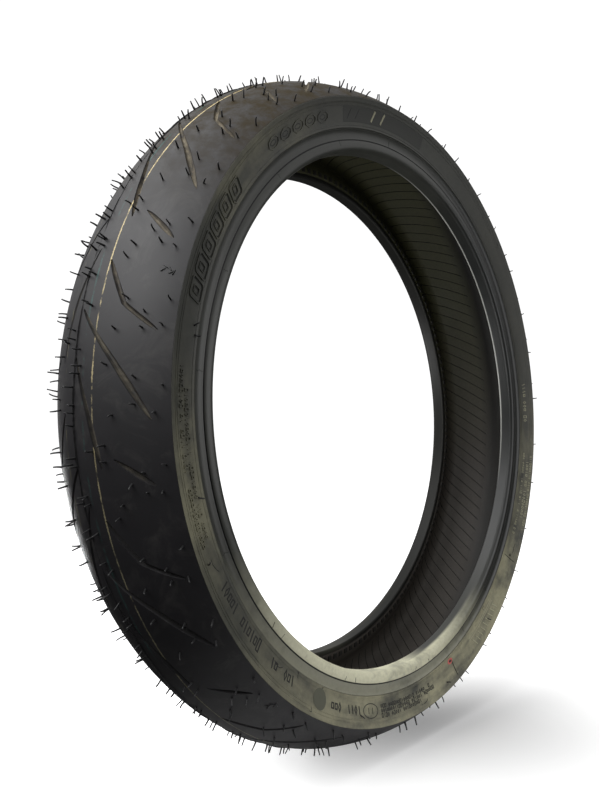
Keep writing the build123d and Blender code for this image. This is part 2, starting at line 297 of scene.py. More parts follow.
# ---- Tread cap ------------------------------------------------------------------------------
# The soft outer rubber that meets the road, moulded with slanting grooves whose walls lean out.
# It is a turned ring with the grooves cut in, the lip of each groove softened by the mould.

MM = 0.001
# Sizes in mm. The section is a tight arc over the crown, then a flatter one down each flank.
CROWN = 282.0
CENTRE_ARC = 50.0
CENTRE_TURN = math.radians(15)
FLANK_ARC = 115.0
CENTRE_RUN = CENTRE_ARC * CENTRE_TURN
TREAD_HALF = 63.75
CAP_DEPTH = 4.0

centre_axis = CROWN - CENTRE_ARC
flank_axis = (
    centre_axis + (CENTRE_ARC - FLANK_ARC) * math.cos(CENTRE_TURN),
    (CENTRE_ARC - FLANK_ARC) * math.sin(CENTRE_TURN),
)


def crown(run, depth=0.0):
    """Radius and axial distance of the tread, by distance from the crown line and by depth."""
    side = math.copysign(1.0, run)
    run = abs(run)
    if run <= CENTRE_RUN:
        lean = run / CENTRE_ARC
        reach = CENTRE_ARC - depth
        return centre_axis + reach * math.cos(lean), side * reach * math.sin(lean)
    lean = CENTRE_TURN + (run - CENTRE_RUN) / FLANK_ARC
    reach = FLANK_ARC - depth
    return flank_axis[0] + reach * math.cos(lean), side * (flank_axis[1] + reach * math.sin(lean))


def on_tread(turn, run, depth=0.0):
    """Point in space on the tread: degrees round the wheel, distance sideways and depth."""
    radius, axial = crown(run, depth)
    angle = math.radians(turn)
    return Vector((radius * math.cos(angle), axial, radius * math.sin(angle))) * MM


def new_piece(name, points, faces, finish=None, edges=()):
    """A mesh object made from points in metres."""
    mesh = bpy.data.meshes.new(name)
    mesh.from_pydata(points, edges, faces)
    mesh.update()
    piece = bpy.data.objects.new(name, mesh)
    bpy.context.scene.collection.objects.link(piece)
    if finish:
        mesh.materials.append(finish)
    return piece


def turned_ring(name, outline, finish, steps):
    """Ring turned about the wheel's axis from a closed outline of (radius, axial) in mm."""
    count = len(outline)
    area = sum(
        a[0] * b[1] - b[0] * a[1] for a, b in zip(outline, outline[1:] + outline[:1])
    )
    if area > 0:
        outline = outline[::-1]
    piece = new_piece(
        name, [(radius * MM, axial * MM, 0) for radius, axial in outline], [], finish,
        [(index, (index + 1) % count) for index in range(count)],
    )
    screw = piece.modifiers.new("turn", "SCREW")
    screw.axis = "Y"
    screw.steps = screw.render_steps = steps
    screw.use_merge_vertices = True
    screw.merge_threshold = 0.00001
    screw.use_smooth_shade = True
    return piece


def baked(piece):
    """The piece with its modifiers applied."""
    graph = bpy.context.evaluated_depsgraph_get()
    mesh = bpy.data.meshes.new_from_object(piece.evaluated_get(graph))
    piece.modifiers.clear()
    piece.data = mesh
    return piece


TREAD_STEPS = 288
outline = [crown(TREAD_HALF * (index / 30 - 1)) for index in range(61)]
outline += [crown(TREAD_HALF * (1 - index / 14), CAP_DEPTH) for index in range(29)]

# Grooves: stations of (degrees from the start of the pitch, distance from the crown line, half
# width), run together smoothly. The pitches are unequal to break up the tread's noise.
SHORT_GROOVE = ((-13.9, 27.0, 0.7), (-12.6, 35.0, 1.4), (-11.2, 43.0, 1.7), (-9.8, 51.0, 0.9))
BENT_GROOVE = (
    (-6.6, 14.0, 0.9), (-4.4, 20.0, 1.5), (-1.2, 29.0, 1.6), (-0.6, 31.0, 1.4), (0.8, 41.0, 1.4),
    (2.4, 53.5, 1.1),
)
LONG_GROOVE = ((-0.1, 0.5, 0.9), (3.5, 15.0, 1.4), (6.6, 28.0, 1.9), (9.8, 40.0, 2.2), (13.2, 52.0, 1.1))
THIN_GROOVE = ((5.0, -2.8, 0.5), (9.0, 4.0, 1.1), (13.0, 10.5, 1.7), (16.5, 14.6, 1.8), (19.7, 18.0, 0.9))
PITCHES = [33.0, 33.0, 35.2] + [32.35] * 8
FIRST_PITCH = 137.2
LEFT_SHIFT = 19.5
GROOVE_DEPTH = 3.2


def smooth_run(stations, spacing):
    """Stations joined by a smooth curve, at about the given spacing in mm."""
    scaled = [Vector((turn * math.radians(CROWN), run, half)) for turn, run, half in stations]
    ends = [scaled[0] * 2 - scaled[1]] + scaled + [scaled[-1] * 2 - scaled[-2]]
    points = []
    for before, start, stop, after in zip(ends, ends[1:], ends[2:], ends[3:]):
        pieces = max(2, round((stop - start).length / spacing))
        for index in range(pieces):
            t = index / pieces
            points.append(0.5 * (
                2 * start + (stop - before) * t
                + (2 * before - 5 * start + 4 * stop - after) * t * t
                + (3 * start - before - 3 * stop + after) * t ** 3
            ))
    return points + [scaled[-1]]


def groove_cutter(stations, start, side):
    """Cutter of one groove: a steep wall on the upper side and a leaning wall below."""
    line = smooth_run(stations, 3.0)
    total = len(line) - 1
    rings = []
    for index, point in enumerate(line):
        along = line[min(index + 1, total)] - line[max(index - 1, 0)]
        along.z = 0
        along.normalize()
        across = Vector((-along.y, along.x, 0))
        half = point.z
        fade = min(1.0, 0.45 + 0.4 * min(index, total - index))
        half *= fade
        deep = min(GROOVE_DEPTH, 0.6 + 1.1 * half)
        ring = (
            (-1.5, -1.5), (-1.12, 0.0), (-0.98, 0.35), (-0.35, deep - 0.5), (-0.1, deep),
            (0.65, deep), (0.85, deep - 0.6), (0.98, 0.3), (1.08, 0.0), (1.4, -1.5),
        )
        points = []
        for share, depth in ring:
            spot = point + across * (-share * half)
            points.append(on_tread(
                start + math.degrees(spot.x / crown(spot.y)[0]), side * spot.y, depth,
            ))
        rings.append(points)
    size = len(rings[0])
    points = [point for ring in rings for point in ring]
    faces = [
        (row * size + i, row * size + (i + 1) % size,
         (row + 1) * size + (i + 1) % size, (row + 1) * size + i)
        for row in range(len(rings) - 1) for i in range(size)
    ]
    faces.append(tuple(range(size))[::-1])
    faces.append(tuple((len(rings) - 1) * size + i for i in range(size)))
    return points, faces


cutter_points, cutter_faces = [], []
for side, shift in ((-1, 0.0), (1, LEFT_SHIFT)):
    start = FIRST_PITCH + shift
    for pitch in PITCHES:
        for stations in (SHORT_GROOVE, BENT_GROOVE, LONG_GROOVE, THIN_GROOVE):
            points, faces = groove_cutter(stations, start, side)
            first = len(cutter_points)
            cutter_points += points
            cutter_faces += [tuple(first + i for i in face) for face in faces]
        start += pitch

tread = baked(turned_ring("tread_cap_rubber", outline, None, TREAD_STEPS))
cutter = new_piece("groove_cutter", cutter_points, cutter_faces)
for piece in (tread, cutter):
    tidy = bmesh.new()
    tidy.from_mesh(piece.data)
    bmesh.ops.recalc_face_normals(tidy, faces=tidy.faces)
    tidy.to_mesh(piece.data)
    tidy.free()
cut = tread.modifiers.new("cut", "BOOLEAN")
cut.operation = "DIFFERENCE"
cut.solver = "EXACT"
cut.object = cutter
baked(tread)
bpy.data.objects.remove(cutter)


def depth_under_tread(point):
    """Depth of a point under the tread surface, in mm."""
    radius = math.hypot(point.x, point.z) / MM
    axial = abs(point.y) / MM
    centre_side = math.atan2(axial, radius - centre_axis) <= CENTRE_TURN
    if centre_side:
        return CENTRE_ARC - math.hypot(radius - centre_axis, axial)
    return FLANK_ARC - math.hypot(radius - flank_axis[0], axial - flank_axis[1])


groove_depth = tread.data.attributes.new("groove_depth", "FLOAT", "POINT")
groove_depth.data.foreach_set("value", [depth_under_tread(v.co) for v in tread.data.vertices])
for face in tread.data.polygons:
    face.use_smooth = True
tread.data.set_sharp_from_angle(angle=math.radians(38))


def painted_line(tree, point, place_mm, half_mm, worn_mm, wear):
    """Mask of a worn paint line round the tread at an axial distance."""
    axial = add(tree, "SeparateXYZ", inputs={0: point}).outputs[1]
    away = add(tree, "Math", {"operation": "SUBTRACT"}, {0: axial, 1: place_mm * MM}).outputs[0]
    away = add(tree, "Math", {"operation": "ABSOLUTE"}, {0: away}).outputs[0]
    ragged = add(tree, "TexNoise", inputs={"Vector": point, "Scale": cells(1.11), "Detail": 2.0}).outputs[0]
    edge = add(tree, "MapRange", inputs={
        "Value": ragged, "From Min": 0.3, "From Max": 0.7,
        "To Min": half_mm * MM * 0.4, "To Max": half_mm * MM * 1.3,
    }).outputs[0]
    inside = add(tree, "Math", {"operation": "LESS_THAN"}, {0: away, 1: edge}).outputs[0]
    patches = add(tree, "TexNoise", inputs={
        "Vector": point, "Scale": cells(worn_mm), "Detail": 5.0, "Roughness": 0.7,
    }).outputs[0]
    left = add(tree, "MapRange", inputs={
        "Value": patches, "From Min": wear - 0.06, "From Max": wear + 0.06,
    }).outputs[0]
    return add(tree, "Math", {"operation": "MULTIPLY"}, {0: inside, 1: left}).outputs[0]


# Cured tread compound: near black with a faint violet cast, satin where the mould was smooth,
# with brown dust on the top of the wheel and dust caught in the grooves, painted pale high up
# and dark low down as painted light and shade.
tread_rubber, tree, output = blank_material("moulded_tread_rubber")
point = add(tree, "TexCoord").outputs["Object"]
cloud = add(tree, "TexNoise", inputs={
    "Vector": point, "Scale": cells(45.5), "Detail": 7.0, "Roughness": 0.6,
}).outputs[0]
# A blasted mould leaves a grain of about 0.1 mm, too fine to show, so it is drawn at 0.67 mm.
grain = add(tree, "TexNoise", inputs={"Vector": point, "Scale": cells(0.667), "Detail": 3.0}).outputs[0]
base = add(tree, "MixRGB", inputs={0: cloud, 1: linear("#19191b"), 2: linear("#272528")}).outputs[0]

# Grey smudges of handling, 3 cm across.
smudge = add(tree, "TexNoise", inputs={
    "Vector": point, "Scale": cells(29.4), "Detail": 9.0, "Roughness": 0.72, "Distortion": 1.2,
}).outputs[0]
smudge = add(tree, "MapRange", inputs={
    "Value": smudge, "From Min": 0.52, "From Max": 0.72, "To Min": 0.0, "To Max": 0.45,
}).outputs[0]
base = add(tree, "MixRGB", inputs={0: smudge, 1: base, 2: linear("#4a4846")}).outputs[0]

# Brown dust round one place high up at the rear, in specks of 1 cm.
from_top = add(tree, "VectorMath", {"operation": "DISTANCE"}, {
    0: point, 1: (-0.13, -0.035, 0.245),
}).outputs["Value"]
top = add(tree, "MapRange", {"interpolation_type": "SMOOTHSTEP"}, {
    "Value": from_top, "From Min": 0.20, "From Max": 0.05, "To Min": 0.0, "To Max": 1.0,
}).outputs[0]
speck = add(tree, "TexNoise", inputs={
    "Vector": point, "Scale": cells(11.1), "Detail": 8.0, "Roughness": 0.7,
}).outputs[0]
mottle = add(tree, "MapRange", inputs={
    "Value": speck, "From Min": 0.35, "From Max": 0.62, "To Min": 0.15, "To Max": 0.85,
}).outputs[0]
brown = add(tree, "Math", {"operation": "MULTIPLY"}, {0: top, 1: mottle}).outputs[0]
base = add(tree, "MixRGB", inputs={0: brown, 1: base, 2: linear("#362c12")}).outputs[0]

# Dust lodged in the grooves, painted pale high up and dark low down: real dust, with painted
# light above and painted shade below.
depth = add(tree, "Attribute", {"attribute_name": "groove_depth"}).outputs["Fac"]
in_groove = add(tree, "MapRange", inputs={
    "Value": depth, "From Min": 0.3, "From Max": 1.6, "To Min": 0.0, "To Max": 0.9,
}).outputs[0]
lodged = add(tree, "MapRange", inputs={"Value": speck, "From Min": 0.35, "From Max": 0.65}).outputs[0]
lodged = add(tree, "Math", {"operation": "MULTIPLY"}, {0: in_groove, 1: lodged}).outputs[0]
# Height of a point: the groove dust and the paint lines are painted lighter high up, as painted light and
# shade.
height = add(tree, "SeparateXYZ", inputs={0: point}).outputs[2]
high = add(tree, "MapRange", inputs={"Value": height, "From Min": -0.10, "From Max": 0.12}).outputs[0]
groove_dust_and_painted_light = add(tree, "MixRGB", inputs={0: high, 1: linear("#2f2e2c"), 2: linear("#9a917f")}).outputs[0]
base = add(tree, "MixRGB", inputs={0: lodged, 1: base, 2: groove_dust_and_painted_light}).outputs[0]

# Three paint lines put on when the tread was extruded: cream, dark green and olive, all worn,
# each painted darker low down as painted shade.
on_top = add(tree, "Math", {"operation": "LESS_THAN"}, {0: depth, 1: 0.25}).outputs[0]
for place, half, worn_mm, wear, paint, paint_in_shade in (
    (-13.6, 0.5, 14.3, 0.44, "#d8c592", "#77725c"),
    (-6.3, 0.8, 22.2, 0.53, "#2c4f4b", "#263c3a"),
    (13.6, 0.5, 16.7, 0.52, "#6f6a50", "#55523f"),
):
    line = painted_line(tree, point, place, half, worn_mm, wear)
    line = add(tree, "Math", {"operation": "MULTIPLY"}, {0: line, 1: on_top}).outputs[0]
    paint = add(tree, "MixRGB", inputs={0: high, 1: linear(paint_in_shade), 2: linear(paint)}).outputs[0]
    base = add(tree, "MixRGB", inputs={0: line, 1: base, 2: paint}).outputs[0]

# Clean rubber is satin, and dust takes its sheen away.
rough = add(tree, "MapRange", inputs={"Value": cloud, "To Min": 0.46, "To Max": 0.60}).outputs[0]
rough = add(tree, "Math", {"operation": "ADD", "use_clamp": True}, {0: rough, 1: lodged}).outputs[0]
rough = add(tree, "Math", {"operation": "MULTIPLY_ADD", "use_clamp": True}, {
    0: brown, 1: 0.35, 2: rough,
}).outputs[0]
sheen = add(tree, "Math", {"operation": "MULTIPLY_ADD"}, {0: brown, 1: -0.3, 2: 0.5}).outputs[0]
bump = add(tree, "Bump", inputs={"Strength": 0.35, "Distance": 0.00006, "Height": grain}).outputs[0]
shader = add(tree, "BsdfPrincipled", inputs={
    "Base Color": base, "Roughness": rough, "Normal": bump, "IOR": 1.52, "Specular IOR Level": sheen,
})
tree.links.new(shader.outputs[0], output.inputs[0])
tread.data.materials.append(tread_rubber)
weighted = tread.modifiers.new("even_shading", "WEIGHTED_NORMAL")
weighted.keep_sharp = True
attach(tread, "root")
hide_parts("tread_cap")


# ---- Sidewalls ------------------------------------------------------------------------------
# The thin rubber skins between the tread and the beads, moulded with a sharp shoulder edge, a
# slightly hollow band and a low rim line. Old storage dust lies thick on the lower half.

RING_STEPS = 240


def between(start, stop, count, bulge=0.0):
    """Points from start up to stop, bowed sideways by a distance in mm."""
    points = []
    for index in range(count):
        t = index / count
        points.append((
            start[0] + (stop[0] - start[0]) * t,
            start[1] + (stop[1] - start[1]) * t + 4 * bulge * t * (1 - t),
        ))
    return points


def mirrored(outline, side):
    """An outline placed on one side of the wheel."""
    return [(radius, side * axial) for radius, axial in outline]


sidewall_outline = (
    [(256.97, 57.42), (256.6, 57.5), (255.9, 57.3)]
    + between((255.4, 57.0), (252.6, 56.1), 3)
    + between((252.2, 55.75), (236.6, 51.55), 12, -0.35)
    + [(235.6, 51.45), (234.9, 51.65), (234.3, 51.6), (234.0, 51.2)]
    + [(234.0, 46.5), (238.5, 48.0), (244.0, 49.2), (250.5, 49.0), (253.8, 54.6)]
)

# Moulded sidewall compound: charcoal with a dull sheen, and a matt grey-green bloom of dust and
# wax in long smears. The bloom is thick low down, and the bare rubber is painted darker at the
# front as painted shade.
sidewall_rubber, tree, output = blank_material("dusty_sidewall_rubber")
point = add(tree, "TexCoord").outputs["Object"]
axes = add(tree, "SeparateXYZ", inputs={0: point}).outputs
turn = wheel_angle(tree, point)
radius = wheel_radius(tree, point)
cloud = add(tree, "TexNoise", inputs={
    "Vector": point, "Scale": cells(62.5), "Detail": 8.0, "Roughness": 0.65,
}).outputs[0]
fine = add(tree, "TexNoise", inputs={
    "Vector": point, "Scale": cells(4.17), "Detail": 6.0, "Roughness": 0.7,
}).outputs[0]
# The mould's grain is about 0.1 mm, too fine to show, so it is drawn at 0.71 mm.
grain = add(tree, "TexNoise", inputs={"Vector": point, "Scale": cells(0.714), "Detail": 3.0}).outputs[0]
# Smears 11 degrees long round the wheel and 10 mm wide.
smear_point = add(tree, "CombineXYZ", inputs={
    0: add(tree, "Math", {"operation": "MULTIPLY"}, {0: turn, 1: 0.9}).outputs[0],
    1: add(tree, "Math", {"operation": "MULTIPLY"}, {0: radius, 1: 16.0}).outputs[0],
    2: axes[1],
}).outputs[0]
smear = add(tree, "TexNoise", inputs={
    "Vector": smear_point, "Scale": 6.0, "Detail": 7.0, "Roughness": 0.6,
}).outputs[0]
# Where the dust lies: thick at the foot, with a patch at the rear and a thin one above it.
settled = add(tree, "VectorMath", {"operation": "DOT_PRODUCT"}, {
    0: point, 1: (0.32, 0.0, -0.95),
}).outputs["Value"]
low = add(tree, "MapRange", {"interpolation_type": "SMOOTHSTEP"}, {
    "Value": settled, "From Min": 0.0, "From Max": 0.27, "To Min": 0.04, "To Max": 1.0,
}).outputs[0]
from_rear = add(tree, "VectorMath", {"operation": "DISTANCE"}, {
    0: point, 1: (-0.245, -0.055, -0.065),
}).outputs["Value"]
rear = add(tree, "MapRange", {"interpolation_type": "SMOOTHSTEP"}, {
    "Value": from_rear, "From Min": 0.10, "From Max": 0.02, "To Min": 0.0, "To Max": 0.6,
}).outputs[0]
low = add(tree, "Math", {"operation": "MAXIMUM"}, {0: low, 1: rear}).outputs[0]
from_upper = add(tree, "VectorMath", {"operation": "DISTANCE"}, {
    0: point, 1: (-0.190, -0.055, 0.160),
}).outputs["Value"]
upper = add(tree, "MapRange", {"interpolation_type": "SMOOTHSTEP"}, {
    "Value": from_upper, "From Min": 0.11, "From Max": 0.02, "To Min": 0.0, "To Max": 0.38,
}).outputs[0]
low = add(tree, "Math", {"operation": "MAXIMUM"}, {0: low, 1: upper}).outputs[0]
mixed = add(tree, "MixRGB", {"blend_type": "OVERLAY"}, {0: 0.7, 1: cloud, 2: smear}).outputs[0]
patch = add(tree, "MapRange", inputs={"Value": mixed, "From Min": 0.30, "From Max": 0.62}).outputs[0]
dust = add(tree, "Math", {"operation": "MULTIPLY"}, {0: low, 1: patch}).outputs[0]
rubber = add(tree, "MixRGB", inputs={0: fine, 1: linear("#2a2b27"), 2: linear("#41423d")}).outputs[0]
# Painted shade: the bare rubber is painted darker towards the front.
ahead = add(tree, "VectorMath", {"operation": "DOT_PRODUCT"}, {
    0: point, 1: (0.98, 0.0, 0.20),
}).outputs["Value"]
front_shade = add(tree, "MapRange", {"interpolation_type": "SMOOTHSTEP"}, {
    "Value": ahead, "From Min": 0.08, "From Max": 0.23, "To Min": 0.0, "To Max": 0.6,
}).outputs[0]
rubber = add(tree, "MixRGB", inputs={0: front_shade, 1: rubber, 2: linear("#22221a")}).outputs[0]
bloom = add(tree, "MixRGB", inputs={0: fine, 1: linear("#7d7a62"), 2: linear("#b3af92")}).outputs[0]
colour = add(tree, "MixRGB", inputs={0: dust, 1: rubber, 2: bloom}).outputs[0]
rough = add(tree, "MapRange", inputs={"Value": dust, "To Min": 0.45, "To Max": 0.72}).outputs[0]
bump = add(tree, "Bump", inputs={"Strength": 0.4, "Distance": 0.00008, "Height": grain}).outputs[0]
shader = add(tree, "BsdfPrincipled", inputs={
    "Base Color": colour, "Roughness": rough, "Normal": bump, "IOR": 1.5,
})
tree.links.new(shader.outputs[0], output.inputs[0])

for side, name in ((1, "left"), (-1, "right")):
    wall_outline = mirrored(sidewall_outline, side)
    wall = turned_ring("sidewall_rubber_" + name, wall_outline, sidewall_rubber, RING_STEPS)
    wall.modifiers.new("even_shading", "WEIGHTED_NORMAL")
    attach(wall, "root")
    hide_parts("sidewall_" + name)


# ---- Rim strips -----------------------------------------------------------------------------
# The hard, smooth rubber round each bead: the hollow for the rim's flange, the mould's parting
# line, the rounded heel, the seat and the toe. Handling has polished its heel.

rim_strip_outline = (
    [(233.98, 51.1), (233.4, 50.6), (232.4, 49.9), (231.0, 49.35), (229.4, 49.1), (227.8, 49.15)]
    + [(226.4, 49.35), (225.65, 49.55), (225.45, 49.3), (225.3, 48.9), (225.15, 49.35), (224.9, 49.7)]
    + [(223.6, 50.2), (222.0, 50.45), (220.4, 50.5)]
    + [
        (220.2 - 4.3 * math.sin(math.radians(turn)), 46.2 + 4.3 * math.cos(math.radians(turn)))
        for turn in range(10, 91, 10)
    ]
    + [(215.9, 44.0), (215.9, 40.0), (215.9, 37.2), (216.05, 36.6), (216.5, 36.15), (217.4, 36.0)]
    + [(218.9, 36.1), (220.4, 36.28), (220.5, 37.45), (217.05, 37.45), (217.05, 48.55)]
    + [(224.0, 48.35), (231.0, 48.4), (231.1, 47.8), (233.98, 47.2)]
)

# Hard rim compound off a polished mould: the glossiest rubber here, painted near black at the
# front as painted shade. The foot of the right strip is white with dust, and the left one is
# painted dark as painted shade and has little sheen.
rim_strip_rubber, tree, output = blank_material("polished_rim_strip_rubber")
point = add(tree, "TexCoord").outputs["Object"]
axes = add(tree, "SeparateXYZ", inputs={0: point}).outputs
radius = wheel_radius(tree, point)
cloud = add(tree, "TexNoise", inputs={
    "Vector": point, "Scale": cells(33.3), "Detail": 8.0, "Roughness": 0.65,
}).outputs[0]
fine = add(tree, "TexNoise", inputs={
    "Vector": point, "Scale": cells(3.125), "Detail": 5.0, "Roughness": 0.7,
}).outputs[0]
# Dust lies on the heel and the flange band near the foot, and on the seat only at its lowest.
settled = add(tree, "VectorMath", {"operation": "DOT_PRODUCT"}, {
    0: point, 1: (-0.20, 0.0, -0.98),
}).outputs["Value"]
low = add(tree, "MapRange", {"interpolation_type": "SMOOTHSTEP"}, {
    "Value": settled, "From Min": 0.13, "From Max": 0.22,
}).outputs[0]
aside = add(tree, "Math", {"operation": "ABSOLUTE"}, {0: axes[1]}).outputs[0]
off_seat = add(tree, "MapRange", inputs={"Value": aside, "From Min": 0.0425, "From Max": 0.0455}).outputs[0]
seat_low = add(tree, "MapRange", {"interpolation_type": "SMOOTHSTEP"}, {
    "Value": settled, "From Min": 0.196, "From Max": 0.212,
}).outputs[0]
low = add(tree, "Math", {"operation": "MULTIPLY"}, {
    0: low, 1: add(tree, "Math", {"operation": "MAXIMUM"}, {0: off_seat, 1: seat_low}).outputs[0],
}).outputs[0]
on_heel = add(tree, "MapRange", {"interpolation_type": "SMOOTHSTEP"}, {
    "Value": radius, "From Min": 0.2262, "From Max": 0.2248, "To Min": 0.30, "To Max": 1.0,
}).outputs[0]
dust = add(tree, "Math", {"operation": "MULTIPLY"}, {0: low, 1: on_heel}).outputs[0]
right_side = add(tree, "MapRange", inputs={
    "Value": axes[1], "From Min": 0.0, "From Max": -0.03, "To Min": 0.04, "To Max": 1.0,
}).outputs[0]
dust = add(tree, "Math", {"operation": "MULTIPLY"}, {0: dust, 1: right_side}).outputs[0]
patch = add(tree, "MapRange", inputs={"Value": cloud, "From Min": 0.15, "From Max": 0.50}).outputs[0]
dust = add(tree, "Math", {"operation": "MULTIPLY"}, {0: dust, 1: patch}).outputs[0]
rubber = add(tree, "MixRGB", inputs={0: cloud, 1: linear("#2c2d2a"), 2: linear("#474843")}).outputs[0]
# Painted shade: the rubber is painted near black towards the front.
ahead = add(tree, "VectorMath", {"operation": "DOT_PRODUCT"}, {
    0: point, 1: (0.98, 0.0, 0.20),
}).outputs["Value"]
front_shade = add(tree, "MapRange", {"interpolation_type": "SMOOTHSTEP"}, {
    "Value": ahead, "From Min": 0.05, "From Max": 0.19, "To Min": 0.0, "To Max": 0.8,
}).outputs[0]
rubber = add(tree, "MixRGB", inputs={0: front_shade, 1: rubber, 2: linear("#141617")}).outputs[0]
# Painted shade: the left strip is painted a flat darker grey.
rubber = add(tree, "MixRGB", inputs={0: right_side, 1: linear("#232321"), 2: rubber}).outputs[0]
bloom = add(tree, "MixRGB", inputs={0: fine, 1: linear("#c9c7a9"), 2: linear("#f4f2d6")}).outputs[0]
colour = add(tree, "MixRGB", inputs={0: dust, 1: rubber, 2: bloom}).outputs[0]
# The parting line's small groove is painted near black as painted shade, and a pale line
# painted along the toe's edge on the upper front of the right strip is a painted highlight.
off_line = add(tree, "Math", {"operation": "ABSOLUTE"}, {
    0: add(tree, "Math", {"operation": "SUBTRACT"}, {0: radius, 1: 0.2253}).outputs[0],
}).outputs[0]
line = add(tree, "MapRange", inputs={"Value": off_line, "From Min": 0.0007, "From Max": 0.0004}).outputs[0]
colour = add(tree, "MixRGB", inputs={0: line, 1: colour, 2: linear("#0b0b0a")}).outputs[0]
on_toe = add(tree, "MapRange", inputs={"Value": aside, "From Min": 0.0382, "From Max": 0.0374}).outputs[0]
inner_edge = add(tree, "MapRange", inputs={
    "Value": radius, "From Min": 0.2172, "From Max": 0.2166,
}).outputs[0]
highlight_reach = add(tree, "VectorMath", {"operation": "DOT_PRODUCT"}, {
    0: point, 1: (0.80, 0.0, 0.60),
}).outputs["Value"]
toe_highlight = add(tree, "MapRange", inputs={"Value": highlight_reach, "From Min": 0.12, "From Max": 0.19}).outputs[0]
for share in (on_toe, inner_edge, right_side):
    toe_highlight = add(tree, "Math", {"operation": "MULTIPLY"}, {0: toe_highlight, 1: share}).outputs[0]
colour = add(tree, "MixRGB", inputs={0: toe_highlight, 1: colour, 2: linear("#b5b6b0")}).outputs[0]
rough = add(tree, "MapRange", inputs={"Value": cloud, "To Min": 0.28, "To Max": 0.42}).outputs[0]
rough = add(tree, "Math", {"operation": "MULTIPLY_ADD"}, {0: dust, 1: 0.25, 2: rough}).outputs[0]
sheen = add(tree, "MapRange", inputs={"Value": right_side, "To Min": 0.12, "To Max": 0.5}).outputs[0]
bump = add(tree, "Bump", inputs={"Strength": 0.3, "Distance": 0.00008, "Height": fine}).outputs[0]
shader = add(tree, "BsdfPrincipled", inputs={
    "Base Color": colour, "Roughness": rough, "Normal": bump, "IOR": 1.52, "Specular IOR Level": sheen,
})
tree.links.new(shader.outputs[0], output.inputs[0])

for side, name in ((1, "left"), (-1, "right")):
    strip_outline = mirrored(rim_strip_outline, side)
    strip = turned_ring("rim_strip_rubber_" + name, strip_outline, rim_strip_rubber, RING_STEPS)
    strip.modifiers.new("even_shading", "WEIGHTED_NORMAL")
    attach(strip, "root")
    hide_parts("rim_strip_" + name)


# ---- Sidewall marks -------------------------------------------------------------------------
# Raised and sunk marks moulded into the sidewalls: two rows of plain frames, rows of small shapes
# that spell nothing, a smooth oval and a smooth panel. The raised ones are of the same rubber. The
# sunk lines and the fine cracks, where the old rubber has dried, are thin strips painted near black
# as painted shade.

# The outer face of the sidewall and the flange band, and the length in mm of a degree round it.
WALL_LINE = sorted(
    (radius, axial) for radius, axial in sidewall_outline[:21] + rim_strip_outline[:15]
)
MM_PER_DEGREE = math.radians(245)


def on_wall(turn, radius, side, height=0.0):
    """Point on the outside of a sidewall, by degrees round the wheel and radius, in metres."""
    for low, high in zip(WALL_LINE, WALL_LINE[1:]):
        if low[0] <= radius <= high[0]:
            break
    share = min(1.0, max(0.0, (radius - low[0]) / max(high[0] - low[0], 0.001)))
    axial = low[1] + (high[1] - low[1]) * share + height
    angle = math.radians(turn)
    return Vector((radius * math.cos(angle), side * axial, radius * math.sin(angle))) * MM


def facing_out(face, side):
    """A face whose corners run to face right, turned round if it is on the left sidewall."""
    return face if side < 0 else face[::-1]


def wall_strip(target, line, width, height, side, closed=False):
    """A flat-topped strip along a line of (degrees, radius) on a sidewall, added to a mesh."""
    points, faces = target
    first = len(points)
    flat = [Vector((turn * MM_PER_DEGREE, radius)) for turn, radius in line]
    total = len(flat)
    for index, spot in enumerate(flat):
        before = flat[index - 1] if index or closed else spot
        after = flat[(index + 1) % total] if index < total - 1 or closed else spot
        ahead = (after - spot).normalized() if after != spot else (spot - before).normalized()
        behind = (spot - before).normalized() if before != spot else ahead
        along = (ahead + behind).normalized()
        stretch = min(1.6, 1 / max(0.4, along.dot(ahead)))
        across = Vector((-along.y, along.x)) * stretch
        for share, rise in ((-0.5, -0.15), (-0.32, height), (0.32, height), (0.5, -0.15)):
            place = spot + across * width * share
            points.append(on_wall(place.x / MM_PER_DEGREE, place.y, side, rise))
    for index in range(total if closed else total - 1):
        a, b = first + index * 4, first + (index + 1) % total * 4
        for corner in range(4):
            after = (corner + 1) % 4
            faces.append(facing_out((a + corner, a + after, b + after, b + corner), side))
    if not closed:
        last = first + (total - 1) * 4
        faces.append(facing_out((first + 3, first + 2, first + 1, first), side))
        faces.append(facing_out((last, last + 1, last + 2, last + 3), side))


def wall_patch(target, low, high, start, stop, side, height=0.06, rows=9):
    """A thin skin over part of a sidewall, between two radii and from a high angle to a low one."""
    points, faces = target
    first = len(points)
    columns = max(2, round(abs(stop - start) / 1.0)) + 1
    for column in range(columns):
        turn = start + (stop - start) * column / (columns - 1)
        for row in range(rows):
            radius = low + (high - low) * row / (rows - 1)
            edge = column in (0, columns - 1) or row in (0, rows - 1)
            points.append(on_wall(turn, radius, side, -0.1 if edge else height))
    for column in range(columns - 1):
        for row in range(rows - 1):
            a = first + column * rows + row
            faces.append(facing_out((a, a + rows, a + rows + 1, a + 1), side))


def wall_oval(target, turn, radius, half_turn, half_radius, side, height):
    """A filled oval on a sidewall: a fan round its middle."""
    points, faces = target
    first = len(points)
    points.append(on_wall(turn, radius, side, height))
    for step in range(28):
        angle = 2 * math.pi * step / 28
        points.append(on_wall(
            turn + half_turn * math.cos(angle), radius + half_radius * math.sin(angle), side, height * 0.6,
        ))
    for step in range(28):
        faces.append(facing_out((first, first + 1 + (step + 1) % 28, first + 1 + step), side))


def frame_line(start, stop, low, high, slant=0.0, round_off=0.12):
    """Corners of a slanted frame with cut corners, as (degrees, radius)."""
    wide, tall = stop - start, high - low
    corners = []
    for across, up in (
        (round_off, 0), (1 - round_off, 0), (1, round_off), (1, 1 - round_off),
        (1 - round_off, 1), (round_off, 1), (0, 1 - round_off), (0, round_off),
    ):
        corners.append((start + wide * across + slant * up, low + tall * up))
    return corners


